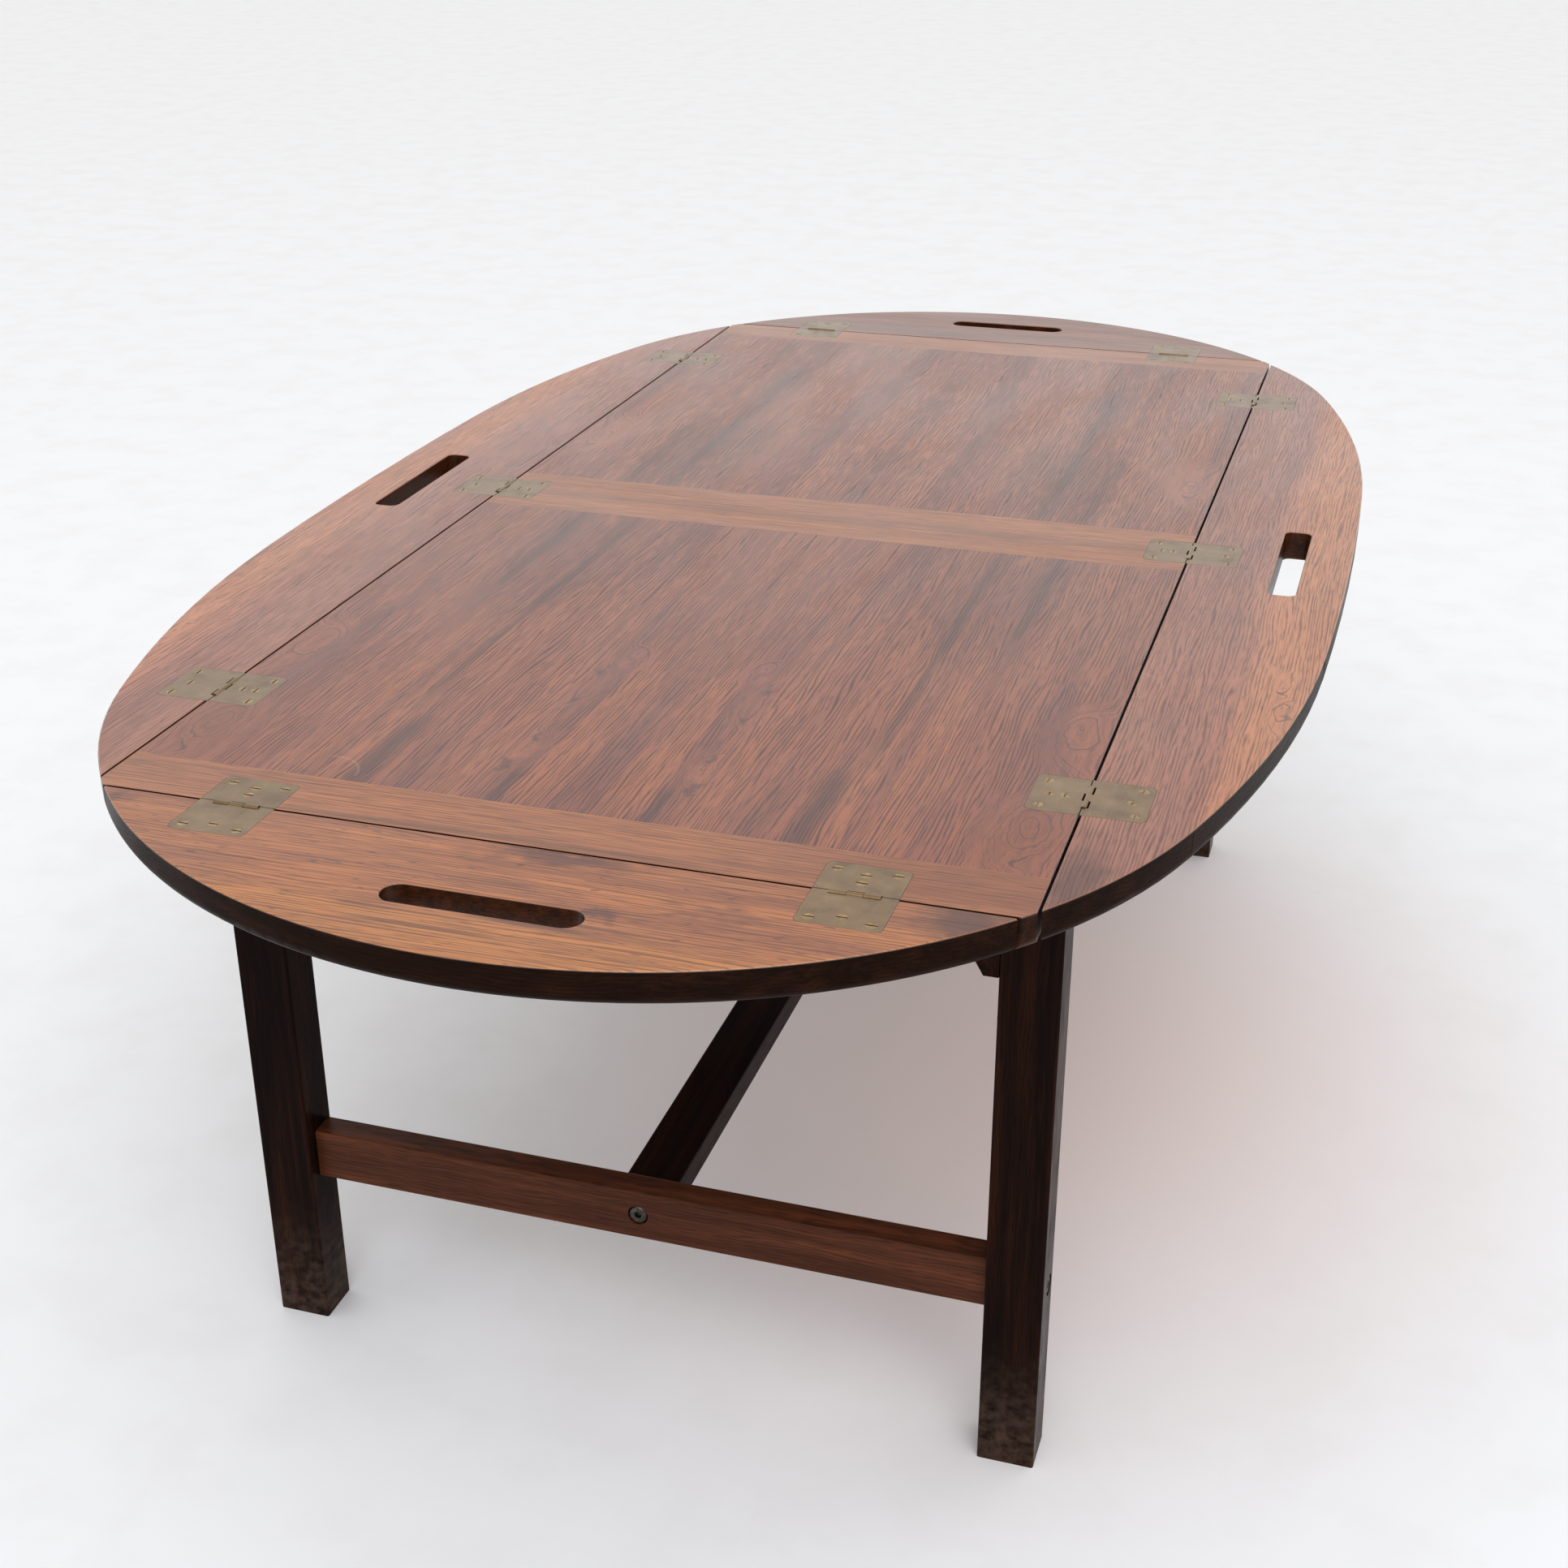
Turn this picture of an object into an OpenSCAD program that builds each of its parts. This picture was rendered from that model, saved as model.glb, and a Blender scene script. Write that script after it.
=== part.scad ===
// Butler tray table: a lift-off tray with four hinged flaps on a bolted stand.
// Millimetres, Z up, origin on the floor under the middle of the table.
// The long side runs along Y, and the front flap is the one at negative Y.

/* [Oval top] */
// Depth of the end flaps, from the seam to the rim
end_flap_d = 123; // [112:0.5:150]
// Depth of the side flaps, from the seam to the rim
side_flap_d = 117; // [105:0.5:140]
// Height of the top above the floor
table_h = 480; // [420:1:560]
// How much smaller the radius of the round ends is than half the width
end_inset = 36; // [30:1:60]
// Radius of the four shoulders between the ends and the long sides
shoulder_r = 1050; // [800:10:1400]
// Radius of the long sides
side_r = 4700; // [4000:50:7000]

/* [Tray and flaps] */
// Length of the tray between its two end seams
tray_l = 1186; // [1140:1:1230]
// Width of the tray between its two side seams
tray_w = 562; // [530:1:590]
// Open seam between the tray and a flap
seam_gap = 2; // [1.8:0.1:3]
// Thickness of the tray and the flaps
panel_t = 22; // [18:0.5:28]
// Thickness of the veneers
veneer_t = 1; // [0.6:0.1:1.5]
// Width of the solid wood lipping round each board
lip_w = 12; // [10:0.5:18]
// Rounding under the outer rim
rim_round = 8; // [3:0.5:9.5]
// Rounding under the straight edges of the tray
tray_round = 3; // [1:0.5:6]
// Broken edge on top of the rim and round the hand slots
arris = 0.8; // [0.3:0.1:0.9]
// Width of the cross band at each end of the tray
end_band_w = 46; // [30:1:70]
// Width of the cross band over the middle of the tray
mid_band_w = 84; // [50:1:120]

/* [Hand slots] */
// Width of the hand slots
slot_w = 20; // [16:0.5:26]
// Length of the slots in the two end flaps
end_slot_l = 116; // [90:1:140]
// Place of the end slots, as a share of the flap's depth from the rim
end_slot_place = 0.447; // [0.4:0.005:0.48]
// Length of the slots in the two side flaps
side_slot_l = 144; // [90:1:180]
// Place of the side slots, as a share of the flap's depth from the rim
side_slot_place = 0.376; // [0.33:0.005:0.45]
// Corner radius of the side slots
side_slot_r = 6; // [3:0.5:8]

/* [Tray hinges] */
// Length of a hinge along its seam
hinge_w = 48; // [40:1:60]
// Depth of the leaf on the tray
tray_leaf = 32; // [28:0.5:40]
// Depth of the leaf on the flap
flap_leaf = 36; // [30:0.5:42]
// Thickness of the leaves
leaf_t = 2; // [1.5:0.1:2.5]
// Radius of the outer corners of the leaves
leaf_r = 4; // [2:0.5:6]
// Width of each of the three knuckles in the middle of a hinge
knuckle_w = 9.6; // [8:0.1:11]
// Outer radius of the knuckles
knuckle_r = 1.8; // [1.6:0.05:2.2]
// Radius of the hinge pin
pin_r = 0.9; // [0.7:0.05:1]
// Pin axis below the top of the leaves, less than half the seam gap
pin_drop = 0.8; // [0.5:0.05:0.85]
// Tray edge to the middle of the nearest hinge on a long side
side_hinge_in = 151; // [110:1:200]
// Tray edge to the middle of the hinge on a short side
end_hinge_in = 96; // [80:1:120]
// Ends of a leaf to its corner screws, and its outer edge to the same screws
corner_screw_in = 7; // [5:0.5:9]
// Outer edge of a leaf to its middle screw
middle_screw_in = 11; // [9:0.5:12]
// Outer edge of a tray leaf to its screw next to the seam
seam_screw_in = 20; // [19:0.5:22]
// Radius of the screw heads in the hinges
hinge_head_r = 3.3; // [2.8:0.1:3.8]
// Radius of the hinge screws
hinge_screw_r = 1.5; // [1.2:0.1:1.8]
// Width of the driver slot in a screw head
driver_slot_w = 1; // [0.8:0.1:1.2]
// Length of the hinge screws
hinge_screw_l = 14; // [10:0.5:17]

/* [Stand] */
// Width of a leg across the table
leg_w = 38; // [32:0.5:46]
// Depth of a leg along the table
leg_d = 33; // [28:0.5:42]
// Long edge of the tray to the outer face of a leg
leg_side_in = 2; // [0:0.5:12]
// Short edge of the tray to the outer face of a leg
leg_end_in = 119; // [100:1:150]
// Rounding along the edges of the legs and the stretchers
wood_round = 1.5; // [0.5:0.25:3]
// Height of the end stretchers, and width of the long stretcher
stretcher_h = 38; // [32:0.5:48]
// Thickness of the three stretchers
stretcher_t = 20; // [18:0.5:26]
// Floor to the middle of the stretchers
stretcher_z = 136; // [100:1:200]
// Front face of a leg to the front face of an end stretcher
stretcher_in = 11; // [2:0.5:13]
// Thickness of the side rails
side_rail_t = 18; // [16:0.5:24]
// Height of the side rails
side_rail_h = 88; // [70:1:110]
// Width of the bevel under the inner edge of a side rail
bevel_w = 8.5; // [4:0.5:12]
// Height of the same bevel
bevel_h = 15; // [6:0.5:24]
// Thickness of the end rails
end_rail_t = 20; // [16:0.5:24]
// Height of the end rails
end_rail_h = 60; // [50:1:66]
// Width of the battens under the tray
batten_w = 22; // [18:0.5:30]
// Thickness of the battens under the tray
batten_t = 16; // [12:0.5:22]
// Play of the battens inside the rails of the stand
batten_play = 1.5; // [1:0.25:4]

/* [Fixings] */
// Radius of the bolt heads
bolt_head_r = 7; // [6:0.25:8]
// Thickness of the bolt heads
bolt_head_t = 2.5; // [2:0.25:4]
// Radius of the bolts
bolt_r = 3; // [2.5:0.25:4]
// How far the bolt heads lie below the wood
bolt_sink = 0.6; // [0:0.1:1.5]
// Hexagon key size across its flats
key_af = 5; // [4:0.5:6]
// End of a stretcher to the middle of its barrel nut
nut_in = 25; // [20:0.5:35]
// Radius of the barrel nuts
nut_r = 5; // [4.5:0.25:6]
// Length of the barrel nuts
nut_l = 16; // [12:0.5:17]
// Radius of the dowels
dowel_r = 4; // [3:0.25:5]
// Length of the dowels
dowel_l = 32; // [26:1:40]
// Length of the screws in the rails
rail_screw_l = 40; // [32:1:48]
// Length of the screws in the battens
batten_screw_l = 28; // [24:1:32]
// Radius of the heads of the rail and batten screws
wood_head_r = 4; // [3.5:0.25:5]
// Radius of the rail and batten screws
wood_screw_r = 2; // [1.5:0.25:2.5]

/* [Hidden] */
$fn = 96;

// Clearance of a fixing in its hole, of a pin in its knuckles and of a bolt head in its cup
fit = 0.1;
pin_fit = 0.05;
bolt_play = 0.3;
// Clearance round a leaf in its recess, and round a knuckle
recess_fit = 0.2;
knuckle_fit = 0.4;
// Overlap that keeps a cut clear of the face it starts from
cut = 1;

// The four sides, as quarter turns from the back
BACK = 0;
LEFT = 1;
FRONT = 2;
RIGHT = 3;
function is_end(side) = side % 2 == 0;

// The whole oval with its flaps down
table_l = tray_l + 2 * (seam_gap + end_flap_d);
table_w = tray_w + 2 * (seam_gap + side_flap_d);

// Levels
top_z = table_h;
under_z = table_h - panel_t;
core_top_z = top_z - veneer_t;
core_under_z = under_z + veneer_t;

// Seams: where the tray ends, where the pin lies and where the flap begins
function tray_edge(side) = (is_end(side) ? tray_l : tray_w) / 2;
function seam(side) = tray_edge(side) + seam_gap / 2;
function flap_edge(side) = tray_edge(side) + seam_gap;

// The oval is three tangent arcs a quarter. In one quarter, with x across and y along,
// the end circle and the side circle are known, and the shoulder circle touches both.
end_r = table_w / 2 - end_inset;
end_y = table_l / 2 - end_r;
side_x = table_w / 2 - side_r;
shoulder_to_end = shoulder_r - end_r;
shoulder_to_side = side_r - shoulder_r;
centre_gap = norm([side_x, end_y]);
along_line = (shoulder_to_end ^ 2 - shoulder_to_side ^ 2 + centre_gap ^ 2) / (2 * centre_gap);
off_line = sqrt(shoulder_to_end ^ 2 - along_line ^ 2);
shoulder_x = (along_line * side_x + off_line * end_y) / centre_gap;
shoulder_y = end_y + (off_line * side_x - along_line * end_y) / centre_gap;
// Angles from the cross axis at which one arc hands over to the next
end_turn = atan2(end_y - shoulder_y, -shoulder_x);
side_turn = atan2(shoulder_y, shoulder_x - side_x);

// Each tighter arc runs on a little inside its flatter neighbour, a hair lower, so that
// the two fuse into one body without a slit between them
lap = 1;
hair = 0.1;

// Rim arcs of a flap, seen with the flap pointing along Y: [x, y, radius, start, sweep]
end_arcs = [[0, end_y, end_r, 0, 180]];
side_arcs = [
  [end_y, 0, end_r - 2 * hair, 0, 90 - end_turn + lap],
  [shoulder_y, shoulder_x, shoulder_r - hair, 90 - end_turn, end_turn - side_turn + lap],
  [0, side_x, side_r, 90 - side_turn, 2 * side_turn],
  [-shoulder_y, shoulder_x, shoulder_r - hair, 90 + side_turn - lap, end_turn - side_turn + lap],
  [-end_y, 0, end_r - 2 * hair, 90 + end_turn - lap, 90 - end_turn + lap]
];
function rim_arcs(side) = is_end(side) ? end_arcs : side_arcs;
// How far inwards from the rim a board is drawn before its seam cuts it
board_share = 0.8;
reach = end_r * board_share;

// Hinges: their places along a seam, their knuckles, and the screws of each leaf. The tray
// leaf has the outer two knuckles, and the flap leaf the one between them.
knuckles = 3;
barrel_w = knuckles * knuckle_w;
knuckle_gap = 0.2;
// Open notch between a knuckle and the leaf that is cut out round it
notch_play = 1;
notch = knuckle_r + notch_play;
// Beside the knuckles a flap leaf runs past the pin axis, and the tray leaf stays clear of
// the corner that swings round with it
flap_past = 0.6;
leaf_play = 0.25;
tray_back = norm([flap_past, pin_drop]) + leaf_play;
side_hinge_u = tray_l / 2 - side_hinge_in;
end_hinge_u = tray_w / 2 - end_hinge_in;
function hinge_u(side) = is_end(side) ? [-end_hinge_u, end_hinge_u] : [-side_hinge_u, 0, side_hinge_u];
corner_u = hinge_w / 2 - corner_screw_in;
tray_outer = seam_gap / 2 + tray_leaf;
flap_outer = seam_gap / 2 + flap_leaf;
tray_screws = [
  [-corner_u, corner_screw_in - tray_outer], [corner_u, corner_screw_in - tray_outer],
  [0, middle_screw_in - tray_outer], [0, seam_screw_in - tray_outer]
];
flap_screws = [
  [-corner_u, flap_outer - corner_screw_in], [corner_u, flap_outer - corner_screw_in],
  [0, flap_outer - middle_screw_in]
];

// Places in the stand
leg_x = tray_w / 2 - leg_side_in;
leg_y = tray_l / 2 - leg_end_in;
leg_in_x = leg_x - leg_w;
leg_h = under_z;
stretcher_y = leg_y - stretcher_in - stretcher_t / 2;
stretcher_back_y = stretcher_y - stretcher_t / 2;
end_rail_x = leg_in_x - side_rail_t;
end_rail_y = leg_y - leg_d - end_rail_t / 2;
batten_y = end_rail_y - end_rail_t / 2 - batten_play - batten_w / 2;
batten_x = end_rail_x - batten_play;
bolt_past_nut = 8;
dowel_zs = [under_z - end_rail_h * 0.3, under_z - end_rail_h * 0.7];
rail_screw_zs = [under_z - side_rail_h * 0.25, under_z - side_rail_h * 0.7];
batten_screw_xs = [-batten_x * 0.8, 0, batten_x * 0.8];
corners = [[-1, -1], [1, -1], [-1, 1], [1, 1]];

// Turn and move what is drawn with its flap pointing along Y to its own side
module on_side(side) {
  rotate([0, 0, 90 * side]) children();
}

module at_hinges(side) {
  on_side(side)
    for (u = hinge_u(side))
      translate([u, seam(side), top_z])
        children();
}

// Bars of wood with eased long edges, centred on their own axis
module eased_section(w, h, r) {
  square([w, h - 2 * r], center = true);
  square([w - 2 * r, h], center = true);
  for (x = [r - w / 2, w / 2 - r], y = [r - h / 2, h / 2 - r])
    translate([x, y])
      circle(r = r);
}

module bar_x(l, w, h) {
  rotate([90, 0, 90])
    linear_extrude(height = l, center = true)
      eased_section(w, h, wood_round);
}

module bar_y(l, w, h) {
  rotate([90, 0, 0])
    linear_extrude(height = l, center = true)
      eased_section(w, h, wood_round);
}

// A countersunk screw pointing down, with its head's flat top at z = 0 and its slot along x
module screw(head_r, shank_r, l, slot = true) {
  cone_t = head_r - shank_r;
  difference() {
    union() {
      translate([0, 0, -cone_t])
        cylinder(h = cone_t, r1 = shank_r, r2 = head_r);
      translate([0, 0, -l])
        cylinder(h = l - cone_t, r = shank_r);
    }
    if (slot)
      translate([-head_r, -driver_slot_w / 2, -0.45 * cone_t])
        cube([2 * head_r, driver_slot_w, cone_t]);
  }
}

module screw_hole(head_r, shank_r, l) {
  cone_t = head_r - shank_r;
  translate([0, 0, -cone_t])
    cylinder(h = cone_t, r1 = shank_r + fit, r2 = head_r + fit);
  translate([0, 0, -fit / 2])
    cylinder(h = cut, r = head_r + fit);
  translate([0, 0, -l - fit / 2])
    cylinder(h = l, r = shank_r + fit);
}

// The lift-off tray and its flaps

// Sweeps a rim section along the arcs of a flap, between two distances from the middle of
// the table. The section has x = 0 at the rim.
module swept_rim(side, y0, y1 = table_l) {
  for (a = rim_arcs(side))
    intersection() {
      translate([a[0], a[1], 0])
        rotate([0, 0, a[3]])
          rotate_extrude(angle = a[4], $fn = 256)
            translate([a[2], 0])
              children();
      translate([-table_l, y0, 0])
        cube([2 * table_l, y1 - y0, table_h + 2 * cut]);
    }
}

module board_section(z0, z1, inset) {
  translate([-reach, z0])
    square([reach - inset, z1 - z0]);
}

// Section of the whole edge below the top veneer, rounded underneath
module edge_section(depth) {
  difference() {
    translate([-depth, under_z])
      square([depth, core_top_z - under_z]);
    difference() {
      translate([-rim_round, under_z - cut])
        square([rim_round + cut, rim_round + cut]);
      translate([-rim_round, under_z + rim_round])
        circle(r = rim_round);
    }
  }
}

module veneer_section() {
  polygon([
    [-reach, core_top_z], [0, core_top_z], [0, top_z - arris],
    [-arris, top_z], [-reach, top_z]
  ]);
}

// A slot with its rounded corners and a broken top edge, centred at the origin, top at z = 0
module slot_cut(l, r) {
  straight = slot_w - 2 * r;
  places = straight > 0
    ? [for (x = [r - l / 2, l / 2 - r], y = [-straight / 2, straight / 2]) [x, y]]
    : [[r - l / 2, 0], [l / 2 - r, 0]];
  translate([0, 0, -panel_t - cut])
    linear_extrude(height = panel_t + 2 * cut) {
      square([l - 2 * r, slot_w], center = true);
      if (straight > 0)
        square([l, straight], center = true);
      for (p = places)
        translate(p)
          circle(r = r);
    }
  for (p = places)
    translate([p[0], p[1], -arris])
      cylinder(h = 2 * arris, r1 = r, r2 = r + 2 * arris);
  bevelled_block(l - 2 * r, slot_w);
  if (straight > 0)
    rotate([0, 0, 90])
      bevelled_block(straight, l);
}

module bevelled_block(l, w) {
  rotate([90, 0, 90])
    linear_extrude(height = l, center = true)
      polygon([
        [-w / 2, -arris], [w / 2, -arris],
        [w / 2 + 2 * arris, arris], [-w / 2 - 2 * arris, arris]
      ]);
}

module hand_slot(side) {
  if (is_end(side))
    translate([0, table_l / 2 - end_slot_place * end_flap_d, top_z])
      slot_cut(end_slot_l, slot_w / 2);
  else
    translate([0, table_w / 2 - side_slot_place * side_flap_d, top_z])
      slot_cut(side_slot_l, side_slot_r);
}

// The recesses of one side's hinges, in the tray's edge and the flap's edge alike
module hinge_recesses(side) {
  at_hinges(side)
    hinge_recess();
}

// A leaf from its edge at the seam to its rounded outer corners
module leaf_outline(depth, grow, edge = 0) {
  w = hinge_w + 2 * grow;
  d = depth + grow;
  r = leaf_r + grow;
  translate([-w / 2, edge])
    square([w, d - r - edge]);
  translate([-w / 2 + r, edge])
    square([w - 2 * r, d - edge]);
  for (x = [r - w / 2, w / 2 - r])
    translate([x, d - r])
      circle(r = r);
}

module hinge_recess() {
  translate([0, 0, -leaf_t])
    linear_extrude(height = leaf_t + cut) {
      leaf_outline(flap_outer, recess_fit);
      rotate([0, 0, 180])
        leaf_outline(tray_outer, recess_fit);
    }
  translate([-barrel_w / 2 - recess_fit, 0, -pin_drop])
    rotate([0, 90, 0])
      cylinder(h = barrel_w + 2 * recess_fit, r = knuckle_r + knuckle_fit);
  for (p = concat(tray_screws, flap_screws))
    translate([p[0], p[1], -hinge_screw_l - fit / 2])
      cylinder(h = hinge_screw_l, r = hinge_screw_r + fit);
}

// A knuckle and the tongue that joins it to its leaf
module knuckle(i) {
  w = knuckle_w - knuckle_gap;
  translate([i * knuckle_w - barrel_w / 2 + knuckle_gap / 2, 0, 0]) {
    translate([0, 0, -pin_drop])
      rotate([0, 90, 0])
        cylinder(h = w, r = knuckle_r);
    translate([0, 0, -leaf_t])
      cube([w, notch + cut, leaf_t]);
  }
}

// One leaf, pointing along Y, with its edge beside the knuckles and the knuckles in its list
module leaf(depth, edge, own, screws) {
  difference() {
    union() {
      difference() {
        translate([0, 0, -leaf_t])
          linear_extrude(height = leaf_t)
            leaf_outline(depth, 0, edge);
        translate([-barrel_w / 2 - knuckle_gap / 2, -notch, -leaf_t - cut])
          cube([barrel_w + knuckle_gap, 2 * notch, leaf_t + 2 * cut]);
      }
      for (i = own)
        knuckle(i);
    }
    translate([-(barrel_w + knuckle_gap) / 2, 0, -pin_drop])
      rotate([0, 90, 0])
        cylinder(h = barrel_w + knuckle_gap, r = pin_r + pin_fit);
    for (p = screws)
      translate([p[0], abs(p[1]), 0])
        screw_hole(hinge_head_r, hinge_screw_r, hinge_screw_l);
  }
}

module tray_leaves(side) {
  color("#8d7f58")
    at_hinges(side)
      rotate([0, 0, 180])
        leaf(tray_outer, tray_back, [0, 2], tray_screws);
}

module flap_leaves(side) {
  color("#8d7f58")
    at_hinges(side)
      leaf(flap_outer, -flap_past, [1], flap_screws);
}

module leaf_screws(side, places) {
  color("#a8976c")
    at_hinges(side)
      for (p = places)
        translate([p[0], p[1], -fit / 2])
          screw(hinge_head_r, hinge_screw_r, hinge_screw_l);
}

module hinge_pins() {
  color("#9a8b60")
    for (side = [BACK, LEFT, FRONT, RIGHT])
      at_hinges(side)
        translate([knuckle_gap - barrel_w / 2, 0, -pin_drop])
          rotate([0, 90, 0])
            cylinder(h = barrel_w - 2 * knuckle_gap, r = pin_r);
}

module tray_leaf_screws() {
  for (side = [BACK, LEFT, FRONT, RIGHT])
    leaf_screws(side, tray_screws);
}

module flap_core(side) {
  color("#8a6a48")
    difference() {
      on_side(side)
        difference() {
          swept_rim(side, flap_edge(side) + lip_w)
            board_section(core_under_z, core_top_z, lip_w);
          hand_slot(side);
        }
      hinge_recesses(side);
    }
}

// A straight strip along the seam and a curved one round the rim
module flap_lipping(side) {
  color("#2c1610")
    difference() {
      on_side(side)
        difference() {
          swept_rim(side, flap_edge(side))
            edge_section(reach);
          swept_rim(side, flap_edge(side) + lip_w)
            board_section(under_z - cut, core_top_z + cut, lip_w);
        }
      hinge_recesses(side);
    }
}

module flap_veneer(side) {
  color("#9c5a38")
    difference() {
      on_side(side)
        difference() {
          swept_rim(side, flap_edge(side))
            veneer_section();
          hand_slot(side);
        }
      hinge_recesses(side);
    }
}

module flap_underside(side) {
  color("#6b3a26")
    on_side(side)
      difference() {
        swept_rim(side, flap_edge(side) + lip_w)
          board_section(under_z, core_under_z, lip_w);
        hand_slot(side);
      }
}

module all_hinge_recesses() {
  for (side = [BACK, LEFT, FRONT, RIGHT])
    hinge_recesses(side);
}

module tray_core() {
  color("#8a6a48")
    difference() {
      translate([lip_w - tray_w / 2, lip_w - tray_l / 2, core_under_z])
        cube([tray_w - 2 * lip_w, tray_l - 2 * lip_w, core_top_z - core_under_z]);
      all_hinge_recesses();
      batten_screw_holes();
    }
}

// Section of a tray lipping, with its outer face at x = 0
module tray_lip_section() {
  difference() {
    translate([-lip_w, under_z])
      square([lip_w, core_top_z - under_z]);
    difference() {
      translate([-tray_round, under_z - cut])
        square([tray_round + cut, tray_round + cut]);
      translate([-tray_round, under_z + tray_round])
        circle(r = tray_round);
    }
  }
}

// The oval over the tray: its two round ends and what lies between them
module tray_limits(z0, z1) {
  translate([-tray_w / 2 - cut, -end_y, z0])
    cube([tray_w + 2 * cut, 2 * end_y, z1 - z0]);
  for (s = [-1, 1])
    translate([0, s * end_y, z0])
      cylinder(h = z1 - z0, r = end_r, $fn = 256);
}

module tray_lip_long(side) {
  color("#5a3220")
    difference() {
      intersection() {
        on_side(side)
          translate([lip_w - tray_l / 2, tray_w / 2, 0])
            rotate([90, 0, 90])
              linear_extrude(height = tray_l - 2 * lip_w)
                tray_lip_section();
        tray_limits(under_z - cut, core_top_z + cut);
      }
      hinge_recesses(side);
    }
}

// The corners of the tray are trimmed and rounded by the end circle of the oval
module tray_lip_end(side) {
  color("#5a3220")
    difference() {
      intersection() {
        on_side(side)
          translate([-tray_w / 2, tray_l / 2, 0])
            rotate([90, 0, 90])
              linear_extrude(height = tray_w)
                tray_lip_section();
        on_side(side)
          swept_rim(side, end_y + end_r - reach)
            edge_section(reach);
      }
      hinge_recesses(side);
    }
}

// A sheet of the tray's top veneer between two distances along Y
module tray_sheet(y0, y1) {
  difference() {
    intersection() {
      translate([-tray_w / 2, y0, core_top_z])
        cube([tray_w, y1 - y0, veneer_t]);
      tray_limits(core_top_z - cut, top_z + cut);
    }
    all_hinge_recesses();
  }
}

module tray_underside() {
  color("#6b3a26")
    difference() {
      translate([lip_w - tray_w / 2, lip_w - tray_l / 2, under_z])
        cube([tray_w - 2 * lip_w, tray_l - 2 * lip_w, veneer_t]);
      batten_screw_holes();
    }
}

module at_batten_screws() {
  for (s = [-1, 1], x = batten_screw_xs)
    translate([x, s * batten_y, under_z - batten_t])
      rotate([180, 0, 0])
        children();
}

module batten_screw_holes() {
  at_batten_screws()
    screw_hole(wood_head_r, wood_screw_r, batten_screw_l);
}

module tray_batten(s) {
  color("#5a3220")
    difference() {
      translate([0, s * batten_y, under_z - batten_t / 2])
        bar_x(2 * batten_x, batten_w, batten_t);
      batten_screw_holes();
    }
}

module batten_screws() {
  color("#a8976c")
    at_batten_screws()
      translate([0, 0, -fit / 2])
        screw(wood_head_r, wood_screw_r, batten_screw_l);
}

// The stand

// A connector bolt pointing down, with the top of its head at z = 0
module bolt(l) {
  difference() {
    union() {
      translate([0, 0, -bolt_head_t])
        cylinder(h = bolt_head_t / 2, r = bolt_head_r);
      translate([0, 0, -bolt_head_t / 2])
        cylinder(h = bolt_head_t / 2, r1 = bolt_head_r, r2 = bolt_head_r - bolt_head_t / 2);
      translate([0, 0, -l])
        cylinder(h = l - bolt_head_t, r = bolt_r);
    }
    translate([0, 0, -0.8 * bolt_head_t])
      cylinder(h = bolt_head_t, r = key_af / sqrt(3), $fn = 6);
  }
}

module bolt_hole(l) {
  translate([0, 0, -bolt_head_t])
    cylinder(h = bolt_head_t + bolt_sink + cut, r = bolt_head_r + bolt_play);
  translate([0, 0, -l - cut])
    cylinder(h = l, r = bolt_r + fit);
}

leg_bolt_l = leg_w + nut_in + bolt_past_nut;
stretcher_bolt_l = stretcher_t + nut_in + bolt_past_nut;

module at_leg_bolts() {
  for (c = corners)
    translate([c[0] * (leg_x - bolt_sink), c[1] * stretcher_y, stretcher_z])
      rotate([0, c[0] * 90, 0])
        children();
}

module at_stretcher_bolts() {
  for (s = [-1, 1])
    translate([0, s * (stretcher_y + stretcher_t / 2 - bolt_sink), stretcher_z])
      rotate([-s * 90, 0, 0])
        children();
}

// Barrel nuts lie across the bolts, with their open ends on the hidden faces of the stretchers
module at_end_nuts() {
  for (c = corners)
    translate([c[0] * (leg_in_x - nut_in), c[1] * stretcher_back_y, stretcher_z])
      rotate([c[1] * 90, 0, 0])
        children();
}

module at_long_nuts() {
  for (s = [-1, 1])
    translate([0, s * (stretcher_back_y - nut_in), stretcher_z - stretcher_t / 2])
      rotate([180, 0, 0])
        children();
}

// A barrel nut pointing down from the face it is pushed in from
module nut() {
  translate([0, 0, -stretcher_t / 2 - nut_l / 2])
    cylinder(h = nut_l, r = nut_r);
}

module nut_hole() {
  translate([0, 0, -stretcher_t / 2 - nut_l / 2])
    cylinder(h = stretcher_t, r = nut_r + fit);
}

module barrel_nuts() {
  color("#6f6a60")
    difference() {
      union() {
        at_end_nuts() nut();
        at_long_nuts() nut();
      }
      at_leg_bolts() bolt_hole(leg_bolt_l);
      at_stretcher_bolts() bolt_hole(stretcher_bolt_l);
    }
}

module leg_bolts() {
  color("#4a463f")
    at_leg_bolts()
      bolt(leg_bolt_l);
}

module stretcher_bolts() {
  color("#4a463f")
    at_stretcher_bolts()
      bolt(stretcher_bolt_l);
}

module leg(sx, sy) {
  color("#3a1d15")
    difference() {
      translate([sx * (leg_x - leg_w / 2), sy * (leg_y - leg_d / 2), 0])
        linear_extrude(height = leg_h)
          eased_section(leg_w, leg_d, wood_round);
      at_leg_bolts() bolt_hole(leg_bolt_l);
      at_rail_screws() screw_hole(wood_head_r, wood_screw_r, rail_screw_l);
    }
}

module end_stretcher(s) {
  color("#6e3a28")
    difference() {
      translate([0, s * stretcher_y, stretcher_z])
        bar_x(2 * leg_in_x, stretcher_t, stretcher_h);
      at_leg_bolts() bolt_hole(leg_bolt_l);
      at_stretcher_bolts() bolt_hole(stretcher_bolt_l);
      at_end_nuts() nut_hole();
    }
}

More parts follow.
